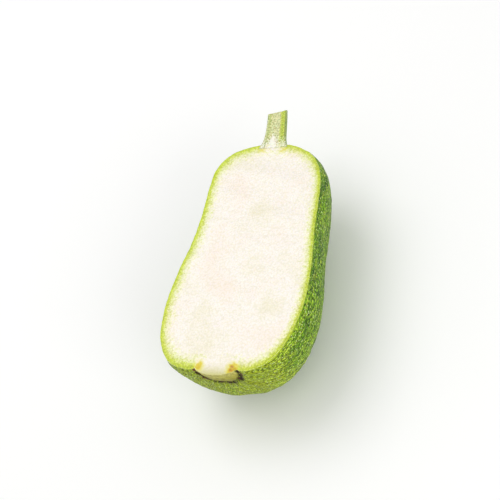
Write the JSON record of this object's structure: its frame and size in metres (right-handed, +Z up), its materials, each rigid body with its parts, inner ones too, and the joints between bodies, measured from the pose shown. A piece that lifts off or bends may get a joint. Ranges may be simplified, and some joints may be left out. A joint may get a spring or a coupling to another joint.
{
  "type": "sponge gourd",
  "caption": "Short, blunt sponge gourd cut lengthwise through its stem: green mottled rind, pale moist flesh, a halved stem stub, lying on its rind with the cut face up.",
  "frame": {"origin": "under the middle of the whole part, on the surface that it lies on", "axes": "+Y runs along the gourd from the blossom end to the stem, +Z is up out of the cut face, +X is across the cut face"},
  "size_m": [0.0976, 0.199, 0.0617],
  "materials": {
    "fruit": "satin mottled green rind; the cut face is moist cream-white flesh with a yellow-green rim",
    "stem": "matt pale green plant stalk, cut lengthwise"
  },
  "bodies": {
    "root": {"gourd_half": "fruit", "stem": "stem"}
  },
  "joints": []
}
